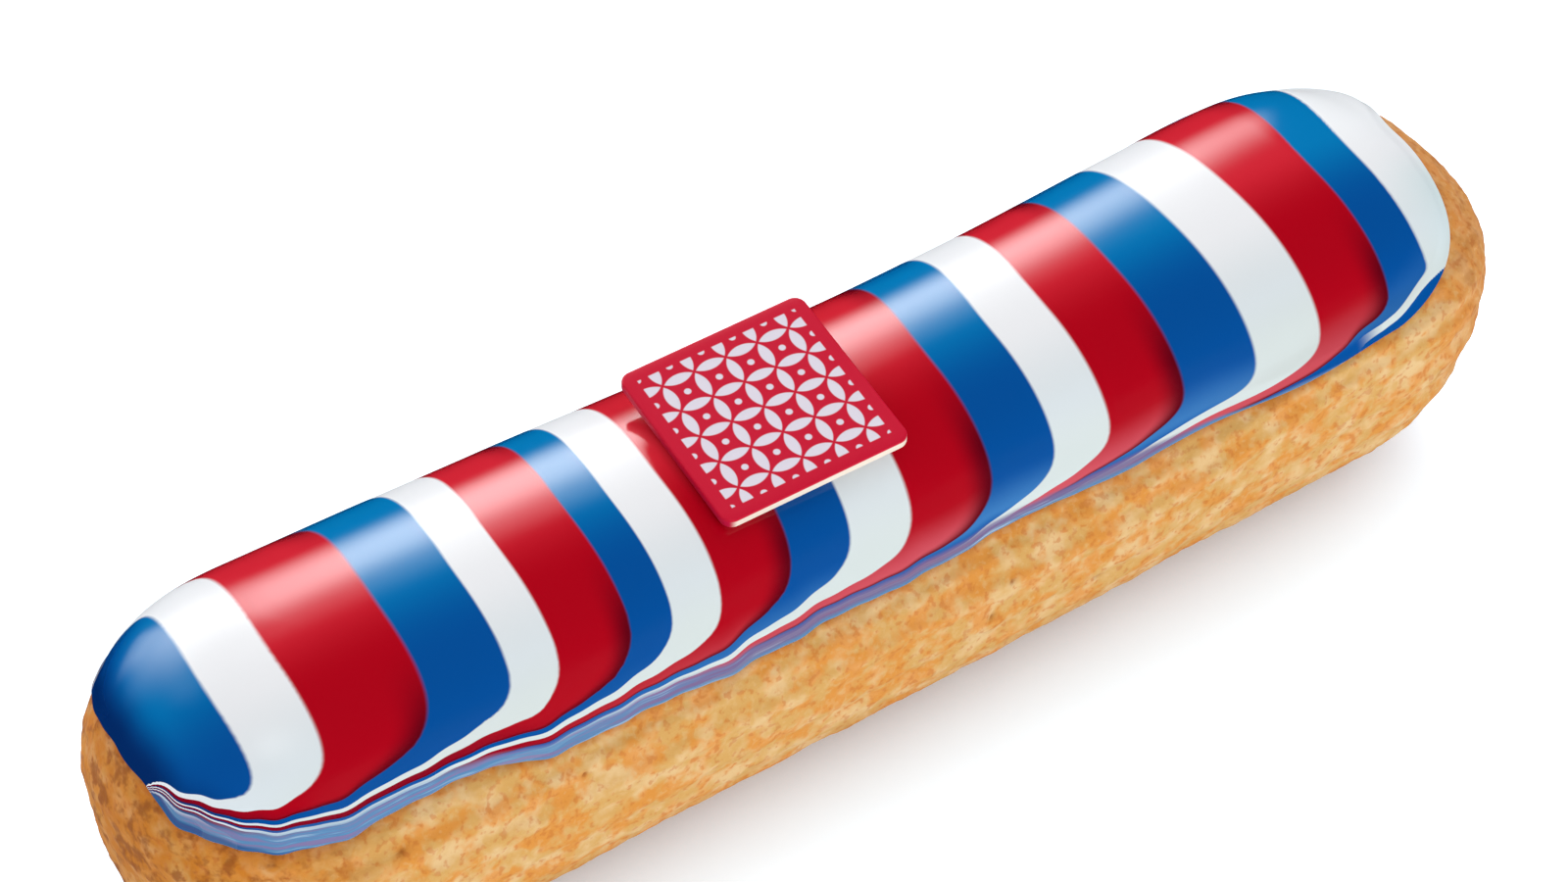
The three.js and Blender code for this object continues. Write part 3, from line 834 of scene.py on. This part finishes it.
studio = {
    "floorSize": 8000.0,  # mm
    "floorColour": paint(221, 235, 248), "glowColour": paint(240, 250, 255), "floorGlow": 0.8,
    # painted shadow: the floor's glow fades close to the eclair
    "shadowReach": 0.1, "shadowSamples": 4,  # the floor glows less close to the eclair, reach in metres
    "worldLight": 0.75,
    "boxFacet": 2.0,  # degrees of a soft box that each face takes up
}
# Each panel of a soft box: the azimuths, from the front towards +X, and the elevations where its light
# starts, gets full, stops being full and ends, and its brightness. The panels add up.
backBox = {
    "panels": (((144.0, 154.0, 160.0, 168.0), (12.0, 31.0, 36.0, 48.0), 3.3),
               ((139.0, 147.0, 165.0, 185.0), (8.0, 30.0, 34.0, 54.0), 4.6),
               ((165.0, 185.0, 189.0, 230.0), (0.0, 27.0, 34.0, 54.0), 4.8),
               ((184.0, 190.0, 199.0, 212.0), (-8.0, 3.0, 8.0, 20.0), 1.4)),
    "distance": 1.2, "lights": True,  # metres; it lights the eclair and shows in the gloss
}
topBox = {
    "panels": (((-62.0, -48.0, -22.0, -8.0), (60.0, 67.0, 71.0, 78.0), 4.0),),
    "distance": 1.2, "lights": False,  # metres; it shows in the gloss only
}
frontFill = {
    "azimuth": 8.0, "elevation": 20.0,  # degrees
    "distance": 1.4, "size": (1.11, 0.8),  # metres
    "brightness": 2.9,
}
camera = {
    "azimuth": -33.84, "elevation": 45.22,  # degrees
    "lens": 101.25, "sensor": 36.0, "distance": 412.56, "target": (-3.56, 0.0, 29.63), "nearest": 10.0,  # mm
}


def skyDirection(azimuth, elevation):
    # unit vectors: azimuth is measured from -Y towards +X, both in degrees
    turn = np.radians(azimuth)
    rise = np.radians(elevation)
    return np.stack([np.sin(turn) * np.cos(rise), -np.cos(turn) * np.cos(rise), np.sin(rise)], axis=-1)


def plateau(value, limits):
    # 0 outside the outer limits, 1 between the inner two, with soft edges
    starts, full, lasts, ends = limits
    return ramp(value, starts, full) * ramp(value, ends, lasts)


def makeSoftbox(name, box):
    # part of a sphere round the eclair, which glows by the sum of its panels, each with soft edges
    limits = np.array([panel[:2] for panel in box["panels"]])
    low = limits.min(axis=(0, 2))
    high = limits.max(axis=(0, 2))
    faces = ((high - low) / studio["boxFacet"]).astype(int)
    azimuth, elevation = np.meshgrid(*(np.linspace(a, b, n + 1) for a, b, n in zip(low, high, faces)))
    light = 0
    for across, up, brightness in box["panels"]:
        light = light + brightness * plateau(azimuth, across) * plateau(elevation, up)
    points = skyDirection(azimuth, elevation) * box["distance"]
    index = np.arange(light.size).reshape(light.shape)
    quads = np.stack([index[:-1, :-1], index[1:, :-1], index[1:, 1:], index[:-1, 1:]], axis=-1)
    mesh = bpy.data.meshes.new(name)
    mesh.from_pydata(points.reshape(-1, 3).tolist(), [], quads.reshape(-1, 4).tolist())
    layer = mesh.attributes.new("glow", "FLOAT", "POINT")
    layer.data.foreach_set("value", (light / light.max()).astype(np.float32).reshape(-1))
    material, surface, start = newMaterial(name)
    surface.inputs["Base Color"].default_value = (0.0, 0.0, 0.0, 1.0)
    surface.inputs["Specular IOR Level"].default_value = 0.0
    joinTo(surface, "Emission Color", start.attribute("glow"))
    surface.inputs["Emission Strength"].default_value = light.max()
    mesh.materials.append(material)
    sphere = bpy.data.objects.new(name, mesh)
    sphere.visible_camera = False
    sphere.visible_shadow = False
    sphere.visible_diffuse = box["lights"]
    bpy.context.collection.objects.link(sphere)


def makeFill():
    # one oval lamp that lights the front and does not show in the gloss
    lamp = bpy.data.lights.new("FrontFill", "AREA")
    lamp.shape = "ELLIPSE"
    lamp.size, lamp.size_y = frontFill["size"]
    area = math.pi / 4 * lamp.size * lamp.size_y
    lamp.energy = frontFill["brightness"] * math.pi * area
    away = Vector(skyDirection(frontFill["azimuth"], frontFill["elevation"]))
    fill = bpy.data.objects.new("FrontFill", lamp)
    fill.location = away * frontFill["distance"]
    fill.rotation_euler = away.to_track_quat("Z", "Y").to_euler()
    fill.visible_camera = False
    fill.visible_glossy = False
    bpy.context.collection.objects.link(fill)


def makeFloor():
    # level square, white paper that glows a little, less close to the eclair as a painted shadow
    half = studio["floorSize"] / 2 * mm
    corners = [(-half, -half, 0.0), (half, -half, 0.0), (half, half, 0.0), (-half, half, 0.0)]
    mesh = bpy.data.meshes.new("Floor")
    mesh.from_pydata(corners, [], [(0, 1, 2, 3)])
    material, surface, start = newMaterial("floorPaper")
    surface.inputs["Base Color"].default_value = studio["floorColour"]
    surface.inputs["Roughness"].default_value = 1.0
    surface.inputs["Specular IOR Level"].default_value = 0.0
    # painted shadow: the glow follows the floor's occlusion
    inputs = {"Color": studio["glowColour"], "Distance": studio["shadowReach"]}
    glow = start.node("ShaderNodeAmbientOcclusion", {"samples": studio["shadowSamples"]}, inputs)
    joinTo(surface, "Emission Color", glow)
    surface.inputs["Emission Strength"].default_value = studio["floorGlow"]
    mesh.materials.append(material)
    floor = bpy.data.objects.new("Floor", mesh)
    floor.visible_glossy = False
    bpy.context.collection.objects.link(floor)


def makeStudio():
    makeFloor()
    scene = bpy.context.scene
    world = bpy.data.worlds.new("Studio")
    scene.world = world
    world.use_nodes = True
    world.node_tree.nodes["Background"].inputs["Color"].default_value = (1.0, 1.0, 1.0, 1.0)
    world.node_tree.nodes["Background"].inputs["Strength"].default_value = studio["worldLight"]
    world.cycles_visibility.glossy = False
    makeSoftbox("BackBox", backBox)
    makeSoftbox("TopBox", topBox)
    makeFill()
    scene.view_settings.view_transform = "Standard"


def makeCamera():
    lens = bpy.data.cameras.new("Camera")
    lens.lens = camera["lens"]
    lens.sensor_width = camera["sensor"]
    lens.sensor_fit = "HORIZONTAL"
    lens.clip_start = camera["nearest"] * mm
    eye = bpy.data.objects.new("Camera", lens)
    away = Vector(skyDirection(camera["azimuth"], camera["elevation"]))
    eye.location = (Vector(camera["target"]) + away * camera["distance"]) * mm
    eye.rotation_euler = away.to_track_quat("Z", "Y").to_euler()
    bpy.context.collection.objects.link(eye)
    bpy.context.scene.camera = eye


makeStudio()
makeCamera()
print("studio and camera done")
